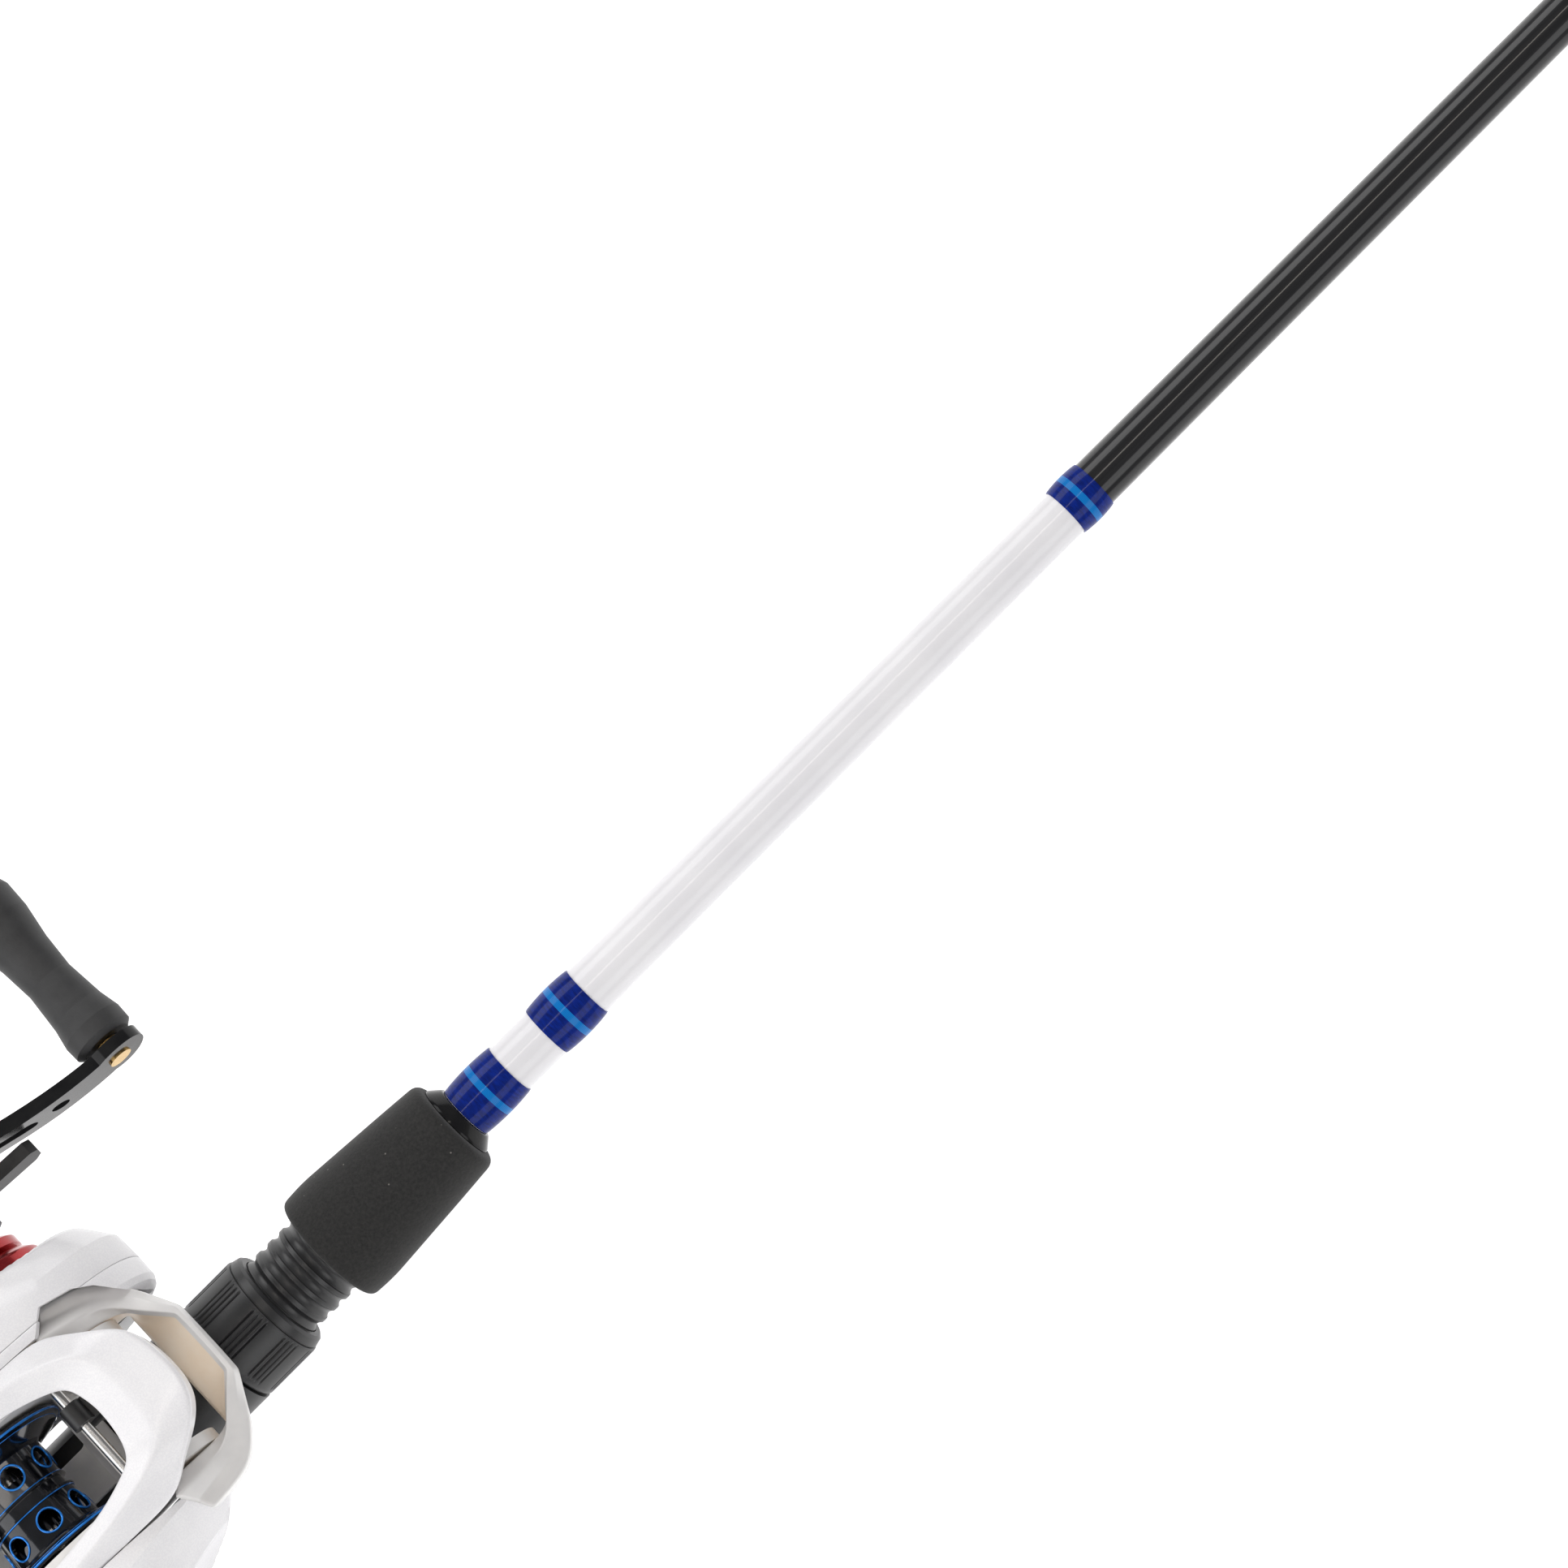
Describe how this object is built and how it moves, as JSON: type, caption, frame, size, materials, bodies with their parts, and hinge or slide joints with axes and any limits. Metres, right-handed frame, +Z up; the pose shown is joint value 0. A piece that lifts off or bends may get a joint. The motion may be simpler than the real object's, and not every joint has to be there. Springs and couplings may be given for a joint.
{
  "type": "fishing rod and reel",
  "caption": "Casting rod with foam grips, trigger seat, wound blank and line guides, carrying a low-profile baitcasting reel with star drag and level wind.",
  "frame": {"origin": "centre of the butt's end face, on the blank's axis", "axes": "+X from the butt to the tip, +Y to the handle side of the reel (left), +Z up through the reel"},
  "size_m": [1.981, 0.1427, 0.0811],
  "materials": {
    "blank": "clear coat over pearl white behind the front winding and black ahead of it",
    "winding": "metallic blue thread under clear epoxy with pale blue trim",
    "guide_wrap": "black thread under clear epoxy",
    "foam": "fine closed-cell foam, matte",
    "butt_rubber": "smooth matte rubber",
    "trim_ring": "polished black",
    "seat": "satin moulded",
    "guide_metal": "dark plated wire",
    "ceramic": "polished ceramic",
    "keeper_wire": "dark plated wire",
    "frame_silver": "satin silver",
    "white_paint": "pearl white gloss",
    "spool_black": "gloss black anodised with bright blue cut edges",
    "steel": "ground",
    "polished": "polished",
    "brass": "machined",
    "bearing": "polished rings",
    "magnet": "plated",
    "drag_fibre": "woven fibre discs",
    "star_grey": "satin dark grey",
    "arm_black": "gloss black anodised",
    "red_anodised": "gloss red anodised",
    "knob_rubber": "soft-touch matte",
    "gold_pin": "polished gold",
    "black_plastic": "moulded"
  },
  "bodies": {
    "rod_and_frame": {"blank": "blank", "butt_cap": "butt_rubber", "rear_grip": "foam", "seat_grip": "foam", "grip_trim_rings": "trim_ring", "reel_seat": "seat", "foregrip": "foam", "winding_check": "trim_ring", "winding_rear": "winding", "winding_middle": "winding", "winding_front": "winding", "guide_frame_1": "guide_metal", "guide_frame_2": "guide_metal", "guide_frame_3": "guide_metal", "guide_frame_4": "guide_metal", "guide_frame_5": "guide_metal", "guide_frames_tip": "guide_metal", "guide_rings": "ceramic", "guide_wraps": "guide_wrap", "tip_top_frame": "guide_metal", "hook_keeper": "keeper_wire", "reel_frame": "frame_silver", "front_cowl": "frame_silver", "top_hood": "white_paint", "gear_base_plate": "white_paint", "gear_side_cover": "white_paint", "palm_side_plate": "white_paint", "ball_bearings": "bearing", "brake_magnet_ring": "magnet", "yoke_posts": "steel", "shaft_bushing": "brass", "anti_reverse_bearing": "bearing", "guide_bar": "polished", "drag_boss": "red_anodised"},
    "seat_hood_slide": {"seat_hood": "seat"},
    "seat_nut": {"lock_nut": "seat"},
    "spool_body": {"spool": "spool_black", "spool_shaft": "steel", "brake_rotor": "polished"},
    "clutch": {"clutch_yoke": "black_plastic"},
    "pinion_body": {"pinion": "brass"},
    "handle": {"drive_shaft": "steel", "drive_gear": "brass", "level_wind_cog": "black_plastic", "drag_washers": "drag_fibre", "drag_pressure_plate": "steel", "handle_arm": "arm_black", "handle_nut": "polished", "knob_pins": "gold_pin"},
    "star": {"star_drag": "star_grey", "drag_click_plate": "red_anodised"},
    "knob_front_body": {"knob_front": "knob_rubber"},
    "knob_rear_body": {"knob_rear": "knob_rubber"},
    "worm": {"worm_shaft": "steel", "worm_gear": "black_plastic"},
    "line_guide": {"line_carrier": "black_plastic", "line_eye": "ceramic"},
    "thumb": {"thumb_bar": "black_plastic"},
    "tension": {"tension_cap": "red_anodised"},
    "brake": {"brake_dial": "black_plastic"}
  },
  "joints": [
    {"name": "handle_spin", "type": "hinge", "parent": "rod_and_frame", "child": "handle", "pos_m": [0.30951, 0, 0.0195], "axis": [0, 1, 0], "continuous": true},
    {"name": "spool_spin", "type": "hinge", "parent": "rod_and_frame", "child": "spool_body", "pos_m": [0.29, 0, 0.0286], "axis": [0, 1, 0], "continuous": true},
    {"name": "clutch_shift", "type": "slide", "parent": "rod_and_frame", "child": "clutch", "axis": [0, 1, 0], "range_m": [0, 0.0008]},
    {"name": "pinion_spin", "type": "hinge", "parent": "clutch", "child": "pinion_body", "pos_m": [0.29, 0, 0.0286], "axis": [0, 1, 0], "continuous": true},
    {"name": "star_turn", "type": "hinge", "parent": "handle", "child": "star", "pos_m": [0.30951, 0, 0.0195], "axis": [0, 1, 0], "range_deg": [-180, 540]},
    {"name": "knob_front_spin", "type": "hinge", "parent": "handle", "child": "knob_front_body", "pos_m": [0.36331, 0, 0.0195], "axis": [0, 1, 0], "continuous": true},
    {"name": "knob_rear_spin", "type": "hinge", "parent": "handle", "child": "knob_rear_body", "pos_m": [0.25571, 0, 0.0195], "axis": [0, 1, 0], "continuous": true},
    {"name": "worm_spin", "type": "hinge", "parent": "rod_and_frame", "child": "worm", "pos_m": [0.31596, 0, 0.02747], "axis": [0, 1, 0], "continuous": true},
    {"name": "line_guide_travel", "type": "slide", "parent": "rod_and_frame", "child": "line_guide", "axis": [0, 1, 0], "range_m": [-0.0142, 0.0038]},
    {"name": "thumb_press", "type": "slide", "parent": "rod_and_frame", "child": "thumb", "axis": [0, 0, -1], "range_m": [0, 0.0035]},
    {"name": "tension_turn", "type": "hinge", "parent": "rod_and_frame", "child": "tension", "pos_m": [0.29, 0, 0.0286], "axis": [0, 1, 0], "range_deg": [-180, 360]},
    {"name": "brake_turn", "type": "hinge", "parent": "rod_and_frame", "child": "brake", "pos_m": [0.29, 0, 0.0286], "axis": [0, 1, 0], "range_deg": [0, 300]},
    {"name": "hood_slide", "type": "slide", "parent": "rod_and_frame", "child": "seat_hood_slide", "axis": [1, 0, 0], "range_m": [0, 0.0102]},
    {"name": "nut_turn", "type": "hinge", "parent": "seat_hood_slide", "child": "seat_nut", "pos_m": [0.342, 0, 0], "axis": [1, 0, 0], "range_deg": [0, 1080]}
  ],
  "couplings": [
    {"joint": "spool_spin", "follows": "handle_spin", "ratio": -7.2},
    {"joint": "pinion_spin", "follows": "handle_spin", "ratio": -7.2},
    {"joint": "worm_spin", "follows": "handle_spin", "ratio": -1.7333},
    {"joint": "clutch_shift", "follows": "thumb_press", "ratio": 0.22857},
    {"joint": "nut_turn", "follows": "hood_slide", "rad_per_m": 1848}
  ]
}
